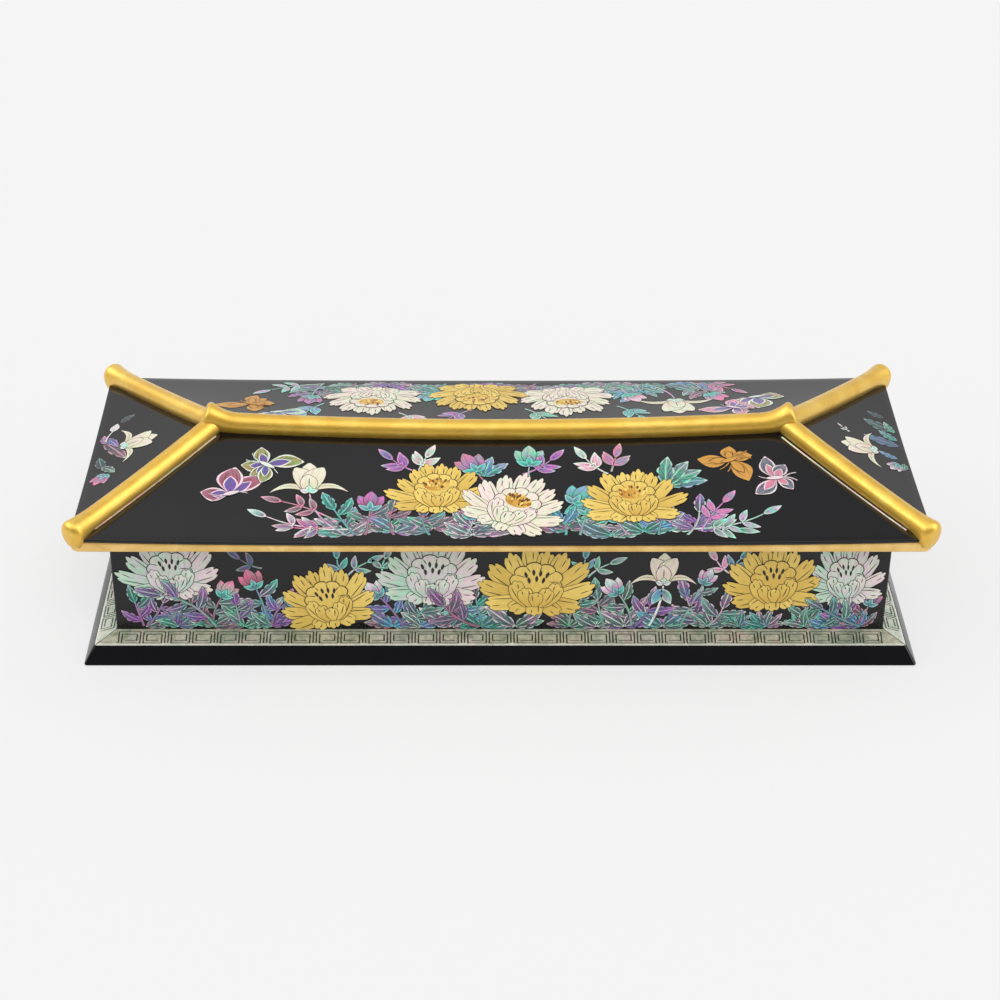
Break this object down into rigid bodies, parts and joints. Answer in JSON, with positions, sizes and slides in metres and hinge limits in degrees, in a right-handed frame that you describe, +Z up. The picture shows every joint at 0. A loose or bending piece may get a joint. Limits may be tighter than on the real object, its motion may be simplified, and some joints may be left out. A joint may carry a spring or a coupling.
{
  "type": "pen case",
  "caption": "Long lacquered pen case on a bevelled base with fretted shell borders and a lift-off lid shaped as a hipped roof with gilded ridge and hip beads.",
  "frame": {"origin": "centre of the underside, on the surface the case stands on", "axes": "+X along the length to the right, -Y towards the front, +Z up"},
  "size_m": [0.2452, 0.097, 0.0607],
  "materials": {
    "lacquer": "polished black lacquer",
    "liner": "satin black lacquer",
    "gilt": "burnished gilding on wood",
    "shell": "polished shell",
    "velvet": "velvet on card",
    "felt": "felt"
  },
  "bodies": {
    "case": {"base_board": "lacquer", "base_felt": "felt", "shell_front": "shell", "shell_back": "shell", "shell_left": "shell", "shell_right": "shell", "wall_front": "lacquer", "wall_back": "lacquer", "wall_left": "lacquer", "wall_right": "lacquer", "liner_front": "liner", "liner_back": "liner", "liner_left": "liner", "liner_right": "liner", "floor_lining": "velvet"},
    "lid": {"rail_front": "lacquer", "rail_back": "lacquer", "rail_left": "lacquer", "rail_right": "lacquer", "roof_front": "lacquer", "roof_back": "lacquer", "roof_left": "lacquer", "roof_right": "lacquer", "trim_front": "gilt", "trim_back": "gilt", "trim_left": "gilt", "trim_right": "gilt", "ridge_bead": "gilt", "hip_front_left": "gilt", "hip_front_right": "gilt", "hip_back_left": "gilt", "hip_back_right": "gilt"}
  },
  "joints": [
    {"name": "lid_lift", "type": "slide", "parent": "case", "child": "lid", "axis": [0, 0, 1], "range_m": [0, 0.08]}
  ]
}
